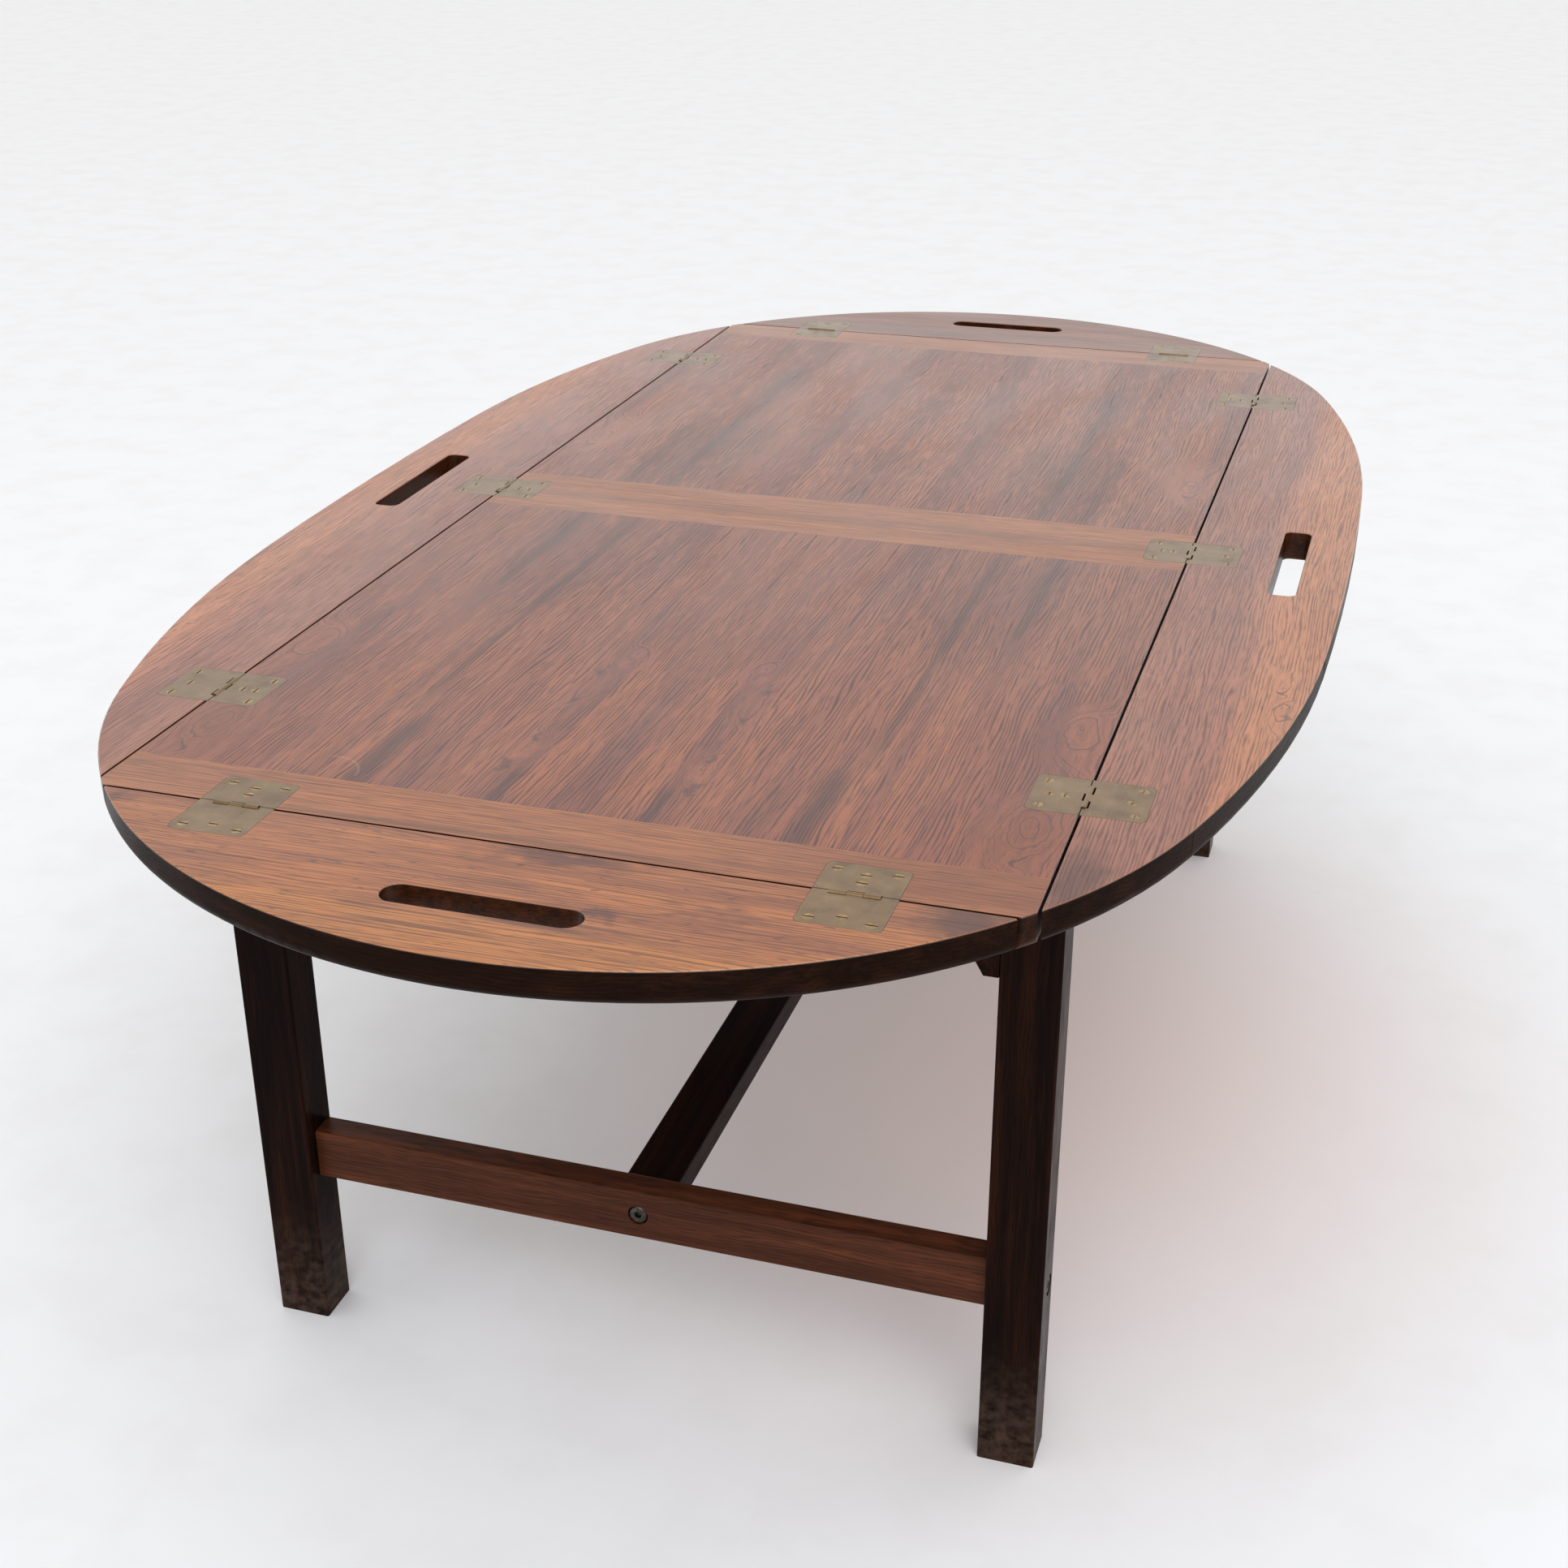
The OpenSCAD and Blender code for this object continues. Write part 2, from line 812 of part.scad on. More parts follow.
module long_stretcher() {
  color("#4a271c")
    difference() {
      translate([0, 0, stretcher_z])
        bar_y(2 * stretcher_back_y, stretcher_h, stretcher_t);
      at_stretcher_bolts() bolt_hole(stretcher_bolt_l);
      at_long_nuts() nut_hole();
    }
}

module at_rail_screws() {
  for (c = corners, z = rail_screw_zs)
    translate([c[0] * end_rail_x, c[1] * (leg_y - leg_d / 2), z])
      rotate([0, -c[0] * 90, 0])
        children();
}

module at_dowels() {
  for (c = corners, z = dowel_zs)
    translate([c[0] * end_rail_x, c[1] * end_rail_y, z])
      rotate([0, 90, 0])
        children();
}

module dowel(grow) {
  cylinder(h = dowel_l, r = dowel_r + grow, center = true);
}

// A rail screwed inside the legs, with a bevel under its inner edge
module side_rail(s) {
  color("#2e1712")
    difference() {
      rotate([90, 0, 0])
        linear_extrude(height = 2 * leg_y, center = true)
          polygon([
            [s * leg_in_x, under_z], [s * end_rail_x, under_z],
            [s * end_rail_x, under_z - side_rail_h + bevel_h],
            [s * (end_rail_x + bevel_w), under_z - side_rail_h],
            [s * leg_in_x, under_z - side_rail_h]
          ]);
      at_rail_screws() screw_hole(wood_head_r, wood_screw_r, rail_screw_l);
      at_dowels() dowel(fit);
    }
}

module end_rail(s) {
  color("#2e1712")
    difference() {
      translate([0, s * end_rail_y, under_z - end_rail_h / 2])
        bar_x(2 * end_rail_x, end_rail_t, end_rail_h);
      at_dowels() dowel(fit);
    }
}

module rail_screws() {
  color("#a8976c")
    at_rail_screws()
      translate([0, 0, -fit / 2])
        screw(wood_head_r, wood_screw_r, rail_screw_l);
}

module rail_dowels() {
  color("#b98f62")
    at_dowels() dowel(0);
}

leg(-1, -1);  // leg_front_left
leg(1, -1);  // leg_front_right
leg(-1, 1);  // leg_back_left
leg(1, 1);  // leg_back_right
end_stretcher(-1);  // end_stretcher_front
end_stretcher(1);  // end_stretcher_back
long_stretcher();
side_rail(-1);  // side_rail_left
side_rail(1);  // side_rail_right
end_rail(-1);  // end_rail_front
end_rail(1);  // end_rail_back
leg_bolts();
stretcher_bolts();
barrel_nuts();
rail_screws();
rail_dowels();
tray_core();
tray_lip_long(LEFT);  // tray_lipping_left
tray_lip_long(RIGHT);  // tray_lipping_right
tray_lip_end(FRONT);  // tray_lipping_front
tray_lip_end(BACK);  // tray_lipping_back
color("#7a4234") tray_sheet(end_band_w - tray_l / 2, -mid_band_w / 2);  // tray_veneer_front
color("#7a4234") tray_sheet(mid_band_w / 2, tray_l / 2 - end_band_w);  // tray_veneer_back
color("#9c6444") tray_sheet(-tray_l / 2, end_band_w - tray_l / 2);  // cross_band_front
color("#9c6444") tray_sheet(-mid_band_w / 2, mid_band_w / 2);  // cross_band_middle
color("#9c6444") tray_sheet(tray_l / 2 - end_band_w, tray_l / 2);  // cross_band_back
tray_underside();
tray_batten(-1);  // tray_batten_front
tray_batten(1);  // tray_batten_back
batten_screws();
tray_leaves(FRONT);  // tray_leaves_front
tray_leaves(BACK);  // tray_leaves_back
tray_leaves(LEFT);  // tray_leaves_left
tray_leaves(RIGHT);  // tray_leaves_right
hinge_pins();
tray_leaf_screws();
flap_core(FRONT);  // front_flap_core
flap_lipping(FRONT);  // front_flap_lipping
flap_veneer(FRONT);  // front_flap_veneer
flap_underside(FRONT);  // front_flap_underside
flap_leaves(FRONT);  // front_flap_leaves
leaf_screws(FRONT, flap_screws);  // front_flap_screws
flap_core(BACK);  // back_flap_core
flap_lipping(BACK);  // back_flap_lipping
flap_veneer(BACK);  // back_flap_veneer
flap_underside(BACK);  // back_flap_underside
flap_leaves(BACK);  // back_flap_leaves
leaf_screws(BACK, flap_screws);  // back_flap_screws
flap_core(LEFT);  // left_flap_core
flap_lipping(LEFT);  // left_flap_lipping
flap_veneer(LEFT);  // left_flap_veneer
flap_underside(LEFT);  // left_flap_underside
flap_leaves(LEFT);  // left_flap_leaves
leaf_screws(LEFT, flap_screws);  // left_flap_screws
flap_core(RIGHT);  // right_flap_core
flap_lipping(RIGHT);  // right_flap_lipping
flap_veneer(RIGHT);  // right_flap_veneer
flap_underside(RIGHT);  // right_flap_underside
flap_leaves(RIGHT);  // right_flap_leaves
leaf_screws(RIGHT, flap_screws);  // right_flap_screws
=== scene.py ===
# Butler tray table: the finish of every piece, the floor, the light and the camera
import math

import bmesh
import bpy
from mathutils import Matrix, Vector

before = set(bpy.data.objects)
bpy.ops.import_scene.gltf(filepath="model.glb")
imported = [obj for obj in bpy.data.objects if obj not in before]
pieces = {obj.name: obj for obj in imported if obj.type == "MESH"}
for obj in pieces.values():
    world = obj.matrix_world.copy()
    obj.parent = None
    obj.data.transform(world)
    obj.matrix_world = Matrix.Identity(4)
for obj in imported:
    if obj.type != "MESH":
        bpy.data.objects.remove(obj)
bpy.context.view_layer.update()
print("frame loaded:", len(pieces), "pieces")

mm = 0.001
sides = ["front", "back", "left", "right"]
mixA, mixB, mixOut = 6, 7, 2  # the colour sockets of a Mix node
numberA, numberB = 2, 3  # and its number sockets
soft = {"interpolation_type": "SMOOTHSTEP"}  # a Map Range node that starts and ends gently
noiseMiddle = 0.5  # noise runs from 0 to 1, and is mostly near this
noiseRough = 0.55  # how strong its finer detail is in the marks


def linear(hexColour):
    # Turns an sRGB hex colour such as "#845545" into the linear values a shader wants
    channels = [int(hexColour[i:i + 2], 16) / 255 for i in (1, 3, 5)]
    return [c / 12.92 if c <= 0.04045 else ((c + 0.055) / 1.055) ** 2.4 for c in channels] + [1.0]


def addNode(tree, kind, inputs, out=0, **settings):
    # Adds a node with its settings, its values and its links, and gives the output that is wanted.
    # The numbered inputs of Map Range are the value, from, to, and what it gives at either end.
    node = tree.nodes.new("ShaderNode" + kind)
    for setting, value in settings.items():
        setattr(node, setting, value)
    for socket, value in inputs.items():
        if isinstance(value, bpy.types.NodeSocket):
            tree.links.new(value, node.inputs[socket])
        else:
            node.inputs[socket].default_value = value
    return node.outputs[out] if node.outputs else None


def newMaterial(name):
    material = bpy.data.materials.new(name)
    material.use_nodes = True
    tree = material.node_tree
    tree.nodes.clear()
    surface = addNode(tree, "BsdfPrincipled", {})
    addNode(tree, "OutputMaterial", {"Surface": surface})
    return material, tree, surface.node


def dress(material, *names):
    for name in names:
        for slot in pieces[name].material_slots:
            slot.material = material


def layOver(tree, colour, layers):
    # Lays thin colours one over the other: each layer is an amount and a hex colour
    for amount, shade in layers:
        colour = addNode(tree, "Mix", {
            0: amount, mixA: colour, mixB: linear(shade)}, mixOut, data_type="RGBA")
    return colour


def stretch(tree, place, wide, long, seed):
    # Space in units of the marks: so many mm across and through the grain, and so many along it
    return addNode(tree, "Mapping", {
        "Vector": place, "Location": (seed, seed, seed), "Scale": (1 / wide, 1 / long, 1 / wide)})


def grainMarks(tree, place, mark, most=1.0, seed=0.0):
    # Marks drawn out along the grain: none where the noise is at one level, most where it is at the other
    stretched = stretch(tree, place, mark["wide"], mark["long"], seed + mark["shift"])
    noise = addNode(tree, "TexNoise", {
        "Vector": stretched, "Scale": 1.0, "Detail": mark["detail"], "Roughness": noiseRough})
    return addNode(tree, "MapRange", {0: noise, 1: mark["none"], 2: mark["full"], 3: 0.0, 4: most}, **soft)


def shaken(tree, place, shake, seed=0.0):
    # The same places pushed about by noise. The sway is the whole range across and along the grain.
    stretched = stretch(tree, place, shake["wide"], shake["long"], seed)
    push = addNode(tree, "TexNoise", {"Vector": stretched, "Scale": 1.0, "Detail": shake["detail"]}, "Color")
    push = addNode(tree, "VectorMath", {0: push, 1: (noiseMiddle,) * 3}, operation="SUBTRACT")
    push = addNode(tree, "VectorMath", {0: push, 1: (*shake["sway"], 0)}, operation="MULTIPLY")
    return addNode(tree, "VectorMath", {0: place, 1: push}, operation="ADD")


def fromMiddle(tree, place, across, along, halfAcross, halfAlong):
    # Distance from the middle of an oval, 1 on its edge
    shape = addNode(tree, "Mapping", {
        "Vector": place, "Location": (-across / halfAcross, -along / halfAlong, 0),
        "Scale": (1 / halfAcross, 1 / halfAlong, 0)})
    return addNode(tree, "VectorMath", {0: shape}, "Value", operation="LENGTH")


def awayFrom(tree, value, middle):
    # How far a value is from the middle, on either side
    beside = addNode(tree, "Math", {0: value, 1: middle}, operation="SUBTRACT")
    return addNode(tree, "Math", {0: beside}, operation="ABSOLUTE")


# Marks in the grain, so many mm wide and long. Bands, streaks and pores take what is missing here from
# the wood. There are no marks where the noise is at the first level, and full ones where it is at the
# second. The shift keeps the kinds of mark apart.
marks = {
    "lightBands": {"none": 0.5, "full": 0.64, "detail": 2.0, "shift": 0},
    "darkBands": {"none": 0.5, "full": 0.37, "detail": 2.0, "shift": 0},
    "clouds": {"wide": 38, "long": 120, "none": 0.5, "full": 0.7, "detail": 3.0, "shift": 11},
    "darkStreaks": {"wide": 4, "none": 0.5, "full": 0.68, "detail": 2.0, "shift": 5},
    "lightStreaks": {"wide": 4, "none": 0.48, "full": 0.32, "detail": 2.0, "shift": 5},
    "lines": {"wide": 16, "long": 90, "none": 0.46, "full": 0.62, "detail": 2.0, "shift": 2},
    "pores": {"none": 0.34, "full": 0.52, "detail": 1.0, "shift": 3},
    "dashes": {"wide": 1.3, "long": 18, "none": 0.5, "full": 0.72, "detail": 1.0, "shift": 17},
    "flecks": {"wide": 3, "long": 12, "none": 0.66, "full": 0.76, "detail": 1.0, "shift": 21},
    "glassRing": {"wide": 20, "long": 20, "none": 0.45, "full": 0.6, "detail": 2.0, "shift": 0},
    "scuffs": {"wide": 7, "long": 14, "none": 0.22, "full": 0.8, "detail": 4.0, "shift": 0},
    "rubbed": {"wide": 60, "long": 160, "none": 0.3, "full": 0.7, "detail": 2.0, "shift": 7},
}
streakLong = 0.3  # narrow streaks are this much of a band long
streakPale = 0.7  # and the light ones this much of the strength of the dark ones

# Lines along the growth rings. Their half width is a share of the gap, and they wander by some gaps
# over a length in mm. Real pore rows are too fine to show, so they are drawn wider.
pigmentLines = {"halfWidth": 0.1, "bend": 2.5, "long": 160, "shift": 9}
poreRows = {"halfWidth": 0.36, "bend": 2.6, "shift": 13}
driftWide = 4  # lines this many gaps apart wander their own ways
poreWide = 0.7  # a pore row breaks off in pieces this much of a gap wide
rowLong = 3  # and wanders over this many pore lengths

# An eye in the grain, from 0 in its middle to 1 on its edge. Up to the first distance the rings are
# closed, the lines bold and the pores few, and from the second on the grain is itself again.
eyeShake = {"wide": 14.3, "long": 14.3, "sway": (9, 12), "detail": 3.0}
eyeRings = {"closed": (0.5, 1.1), "bold": (0.6, 1.2), "fewPores": (0.7, 1.2),
            "boldness": 0.75, "poresLeft": 0.25}

# A patch of colour is full up to the first distance and gone at the second
patchShake = {"wide": 16.7, "long": 16.7, "sway": (26, 50), "detail": 3.0}
patchFade = (0.2, 1.0)


def strip(tree, ring, along, middle, halfWidth, blur, first, last, ends, most):
    # A strip that follows the grain from first to last, with blurred sides and faded ends
    beside = awayFrom(tree, ring, middle)
    width = addNode(tree, "MapRange", {
        0: beside, 1: halfWidth - blur, 2: halfWidth + blur, 3: most, 4: 0.0}, **soft)
    half = (last - first) / 2
    past = awayFrom(tree, along, first + half)
    length = addNode(tree, "MapRange", {0: past, 1: half - ends, 2: half + ends, 3: 1.0, 4: 0.0}, **soft)
    return addNode(tree, "Math", {0: width, 1: length}, operation="MULTIPLY")


def ringLines(tree, rings, gap, lines, seed):
    # Lines along the growth rings, a gap apart: 1 on a line, 0 between. Counted in gaps, the wave runs
    # from 0 on a line to a half in the middle between two.
    wander = {"wide": gap * driftWide, "long": lines["long"], "none": 0.0, "full": 1.0, "detail": 1.0,
              "shift": lines["shift"]}
    drift = grainMarks(tree, rings, wander, lines["bend"], seed)
    ring = addNode(tree, "SeparateXYZ", {0: rings})
    phase = addNode(tree, "Math", {0: ring, 1: 1 / gap, 2: drift}, operation="MULTIPLY_ADD")
    wave = addNode(tree, "Math", {0: phase, 1: 0.5}, operation="PINGPONG")
    return addNode(tree, "MapRange", {0: wave, 1: 0.0, 2: lines["halfWidth"], 3: 1.0, 4: 0.0}, **soft)


def eyeDistance(tree, ragged, along, eye):
    # Distance from the middle of an eye in the grain, 1 on its ragged edge, drawn out to one end
    middleX, middleY, halfX, halfY, lean = eye
    tilt = lean / halfY
    oval = fromMiddle(tree, ragged, middleX, middleY + lean * halfY, halfX, halfY)
    leaned = addNode(tree, "Math", {0: along, 1: tilt, 2: oval}, operation="MULTIPLY_ADD")
    return addNode(tree, "Math", {0: leaned, 1: tilt * middleY}, operation="SUBTRACT")


def closeRounds(tree, wood, place, ring, along):
    # Closes the growth rings round each eye. There the dark lines are bold and the pores are few.
    bold = grainMarks(tree, place, marks["lines"], wood["lines"], wood["seed"])
    porous = 1.0
    ragged = shaken(tree, place, eyeShake)
    for eye in wood.get("eyes", []):
        distance = eyeDistance(tree, ragged, along, eye)
        ringMiddle, ringHalf = eye[0], eye[2]
        closed = addNode(tree, "Math", {0: distance, 1: ringHalf, 2: ringMiddle}, operation="MULTIPLY_ADD")
        near, far = eyeRings["closed"]
        inside = addNode(tree, "MapRange", {0: distance, 1: near, 2: far, 3: 1.0, 4: 0.0}, **soft)
        ring = addNode(tree, "Mix", {0: inside, numberA: ring, numberB: closed}, data_type="FLOAT")
        near, far = eyeRings["bold"]
        bolder = addNode(tree, "MapRange", {
            0: distance, 1: near, 2: far, 3: eyeRings["boldness"], 4: 0.0}, **soft)
        bold = addNode(tree, "Math", {0: bold, 1: bolder}, operation="MAXIMUM")
        near, far = eyeRings["fewPores"]
        sparse = addNode(tree, "MapRange", {
            0: distance, 1: near, 2: far, 3: eyeRings["poresLeft"], 4: 1.0}, **soft)
        porous = addNode(tree, "Math", {0: porous, 1: sparse}, operation="MULTIPLY")
    return ring, bold, porous


def figureLayers(tree, wood, place, ring, along):
    # The figure of the wood: broad bands, clouds, strips, narrow streaks and patches
    seed, bands, narrow = wood["seed"], wood["bands"], wood["narrow"]
    band = {"wide": wood["bandWide"], "long": wood["bandLong"]}
    streak = {"long": wood["bandLong"] * streakLong}
    layers = [
        (grainMarks(tree, place, {**marks["lightBands"], **band}, bands, seed), wood["light"]),
        (grainMarks(tree, place, {**marks["darkBands"], **band}, bands, seed), wood["dark"]),
        (grainMarks(tree, place, marks["clouds"], wood["clouds"], seed), wood["cloud"])]
    for *shape, shade in wood.get("strips", []):
        layers.append((strip(tree, ring, along, *shape), shade))
    dark = grainMarks(tree, place, {**marks["darkStreaks"], **streak}, narrow, seed)
    light = grainMarks(tree, place, {**marks["lightStreaks"], **streak}, narrow * streakPale, seed)
    layers += [(dark, wood["dark"]), (light, wood["light"])]
    blotched = shaken(tree, place, patchShake)
    near, far = patchFade
    for *oval, most, shade in wood.get("patches", []):
        distance = fromMiddle(tree, blotched, *oval)
        patch = addNode(tree, "MapRange", {0: distance, 1: near, 2: far, 3: most, 4: 0.0}, **soft)
        layers.append((patch, shade))
    return layers


def wearLayers(tree, wood, inMm, flat, height):
    # The pale ring that a wet glass leaves in lacquer, scuffs near the floor, and edges: stained ones, and
    # pale ones that are part rubbed wear, part painted highlight
    layers = []
    for middleX, middleY, radius, halfWidth, most in wood.get("glassRings", []):
        off = awayFrom(tree, fromMiddle(tree, flat, middleX, middleY, radius, radius), 1.0)
        whole = addNode(tree, "MapRange", {0: off, 1: 0.0, 2: halfWidth / radius, 3: 1.0, 4: 0.0}, **soft)
        broken = grainMarks(tree, flat, marks["glassRing"], most, wood["seed"])
        broken = addNode(tree, "Math", {0: whole, 1: broken}, operation="MULTIPLY")
        layers.append((broken, wood["worn"]))
    for top, most, shade in wood.get("scuffs", []):
        low = addNode(tree, "MapRange", {0: height, 1: 0.0, 2: top, 3: 1.0, 4: 0.0}, **soft)
        scuffed = grainMarks(tree, inMm, marks["scuffs"], most, wood["seed"])
        scuffed = addNode(tree, "Math", {0: scuffed, 1: low}, operation="MULTIPLY")
        layers.append((scuffed, shade))
    # Edges by height: stain, and on the flaps a pale top edge that is part rubbed wear, part painted
    # highlight
    for level, blur, most, shade in wood["edges"]:
        edge = addNode(tree, "MapRange", {
            0: height, 1: level - blur, 2: level + blur, 3: most, 4: 0.0}, **soft)
        layers.append((edge, shade))
    return layers


# Satin lacquer on the wood: how much smoother and duller it is in places, how much duller over a pore,
# how far it sinks there in mm, and how soft the milky bloom of old lacquer is
lacquer = {"ior": 1.5, "smoother": 0.04, "duller": 0.09, "overPores": 0.15, "sink": 0.1, "bloomSoft": 0.3}


def lacquerWood(tree, shader, wood, place, pores):
    rubbed = grainMarks(tree, place, marks["rubbed"], lacquer["duller"], wood["seed"])
    gloss = addNode(tree, "Math", {0: rubbed, 1: wood["rough"] - lacquer["smoother"]}, operation="ADD")
    gloss = addNode(tree, "Math", {0: pores, 1: lacquer["overPores"], 2: gloss}, operation="MULTIPLY_ADD")
    tree.links.new(gloss, shader.inputs["Roughness"])
    sunk = addNode(tree, "Bump", {
        "Height": pores, "Strength": wood["bump"], "Distance": lacquer["sink"] * mm}, invert=True)
    tree.links.new(sunk, shader.inputs["Normal"])
    shader.inputs["IOR"].default_value = lacquer["ior"]
    shader.inputs["Specular IOR Level"].default_value = wood["specular"]
    shader.inputs["Sheen Weight"].default_value = wood["bloom"]  # shows at a low angle
    shader.inputs["Sheen Roughness"].default_value = lacquer["bloomSoft"]


def woodMaterial(name, wood):
    material, tree, shader = newMaterial(name)
    seed = wood["seed"]
    coords = addNode(tree, "TexCoord", {}, "Object")
    inMm = addNode(tree, "Mapping", {"Vector": coords, "Scale": (1 / mm, 1 / mm, 1 / mm)})
    axes = addNode(tree, "SeparateXYZ", {0: inMm}).node.outputs
    across, along, through = [axes[axis] for axis in wood["grain"]]
    flat = addNode(tree, "CombineXYZ", {0: across, 1: along})
    if wood.get("bookMatched"):
        across = addNode(tree, "Math", {0: across}, operation="ABSOLUTE")
    place = addNode(tree, "CombineXYZ", {0: across, 1: along, 2: through})

    # The grain wanders: long slow bends first, then short shivers
    for wide, long, sway in wood["wander"]:
        bend = {"wide": wide, "long": long, "sway": (sway, 2 * sway), "detail": 1.0}
        place = shaken(tree, place, bend, seed)
    ring, along, through = addNode(tree, "SeparateXYZ", {0: place}).node.outputs
    ring, bold, porous = closeRounds(tree, wood, place, ring, along)
    rings = addNode(tree, "CombineXYZ", {0: ring, 1: along, 2: through})

    # Dark pigment lines run along the growth rings and break off here and there
    lines = ringLines(tree, rings, wood["lineGap"], pigmentLines, seed)
    lines = addNode(tree, "Math", {0: lines, 1: bold}, operation="MULTIPLY")

    # Open pores lie in rows along the rings: fine wavy dark lines
    gap, long = wood["poreGap"], wood["poreLong"]
    rows = ringLines(tree, rings, gap, {**poreRows, "long": long * rowLong}, seed)
    rows = addNode(tree, "Math", {0: rows, 1: porous}, operation="MULTIPLY")
    pore = {**marks["pores"], "wide": gap * poreWide, "long": long}
    pores = grainMarks(tree, rings, pore, wood["pores"], seed)
    pores = addNode(tree, "Math", {0: rows, 1: pores}, operation="MULTIPLY")
    dashes = grainMarks(tree, place, marks["dashes"], wood["dashes"], seed)
    flecks = grainMarks(tree, place, marks["flecks"], wood["flecks"], seed)

    layers = figureLayers(tree, wood, place, ring, along)
    layers += [(dark, wood["line"]) for dark in (lines, pores, dashes, flecks)]
    layers += wearLayers(tree, wood, inMm, flat, axes["Z"])
    colour = layOver(tree, linear(wood["mid"]), layers)
    tree.links.new(colour, shader.inputs["Base Color"])
    lacquerWood(tree, shader, wood, place, pores)
    return material


# Rosewood veneer, sliced and lacquered satin: red brown with purple clouds, fine dark lines and a soft
# sheen. All in mm.
# Grain: the axes across the grain, along it and through the wood. Wander: width, length and sway.
# Eyes and patches: across, along, half width, half length, then the lean of an eye, or the strength and
# colour of a patch.
# Strips: middle, half width, blur, first, last, length of the faded ends, strength and colour.
# Glass rings: across, along, radius, half width and strength.
# Edges: all below this height, blur, strength and colour.
rosewood = {
    "grain": "XYZ", "seed": 3.7, "wander": [(75, 330, 13), (14, 75, 1.7), (5, 22, 0.5)],
    "bandWide": 26, "bandLong": 600, "bands": 0.55, "narrow": 0.3, "clouds": 0.35,
    "flecks": 0.15, "dashes": 0.4,
    "light": "#a5613c", "mid": "#915138", "dark": "#6c3a30", "cloud": "#643a36",
    "line": "#361a1c", "worn": "#b08a76",
    "lineGap": 5, "lines": 0.45, "poreGap": 2.4, "poreLong": 36, "pores": 0.75,
    "rough": 0.27, "bump": 0.25, "specular": 0.5, "bloom": 0.35,
    "edges": [(479.8, 0.1, 1.0, "#24130d")],
}
frontField = {
    **rosewood, "bookMatched": True,
    "eyes": [(55, -474, 11, 32, 0.2), (57, -367, 12, 40, -0.3), (48, -318, 15, 28, 0.3),
             (256, -506, 32, 60, 0.35), (262, -368, 26, 60, 0.3)],
    "patches": [(256, -506, 40, 64, 0.65, "#7d3f1d"), (55, -474, 8, 16, 0.5, "#a8603f"),
                (55, -450, 5, 9, 0.7, "#3a2224"), (60, -500, 5, 12, 0.6, "#3a2224"),
                (46, -322, 14, 26, 0.4, "#96524a"), (58, -345, 6, 16, 0.5, "#43292b")],
    "strips": [(158, 47, 8, -250, -30, 60, 0.4, "#5b3029"), (254, 47, 8, -250, -30, 60, 0.4, "#96583a"),
               (147, 4, 4, -430, -42, 40, 0.55, "#2a1718"), (135, 7, 6, -560, -455, 18, 0.55, "#2a1718"),
               (193, 4, 4, -250, -40, 60, 0.5, "#2a1718"), (47, 3, 2, -560, -505, 10, 0.6, "#2a1718")],
    "glassRings": [(-160, -540, 22, 1.6, 0.25)],
}
backField = {
    **rosewood, "bookMatched": True, "seed": 8.2,
    "eyes": [(55, 330, 12, 40, 0.2), (258, 180, 26, 60, -0.3)],
    "strips": [(158, 47, 8, 30, 250, 60, 0.4, "#5b3029"), (254, 47, 8, 30, 250, 60, 0.4, "#96583a"),
               (155, 6, 6, 40, 430, 60, 0.5, "#2a1718"), (193, 4, 4, 40, 260, 60, 0.4, "#2a1718")],
}
dress(woodMaterial("lacquered rosewood veneer, front field", frontField), "tray_veneer_front")
dress(woodMaterial("lacquered rosewood veneer, back field", backField), "tray_veneer_back")

# Rosewood cross banding, cut from lighter wood: orange brown with fine lines across the tray
crossBand = {
    **rosewood, "grain": "YXZ", "seed": 1.3, "wander": [(60, 420, 6), (10, 90, 1.0)],
    "bandWide": 13, "bandLong": 420, "bands": 0.45, "narrow": 0.3, "clouds": 0.2, "flecks": 0.1,
    "light": "#b27042", "mid": "#a5643b", "dark": "#8a4f30", "cloud": "#7a4836", "line": "#4a2417",
    "lineGap": 6, "lines": 0.3, "poreLong": 60, "pores": 0.6,
}
crossBands = {
    "front": {**crossBand, "strips": [(-588, 3, 2, -160, 100, 30, 0.5, "#42241c")],
              "patches": [(-568, 250, 44, 190, 0.7, "#83492c")]},
    "middle": {**crossBand, "seed": 2.1, "strips": [(1, 6, 4, -320, 320, 10, 0.3, "#42241c")]},
    "back": {**crossBand, "seed": 4.4},
}
for side, band in crossBands.items():
    dress(woodMaterial("lacquered rosewood cross band, " + side, band), "cross_band_" + side)
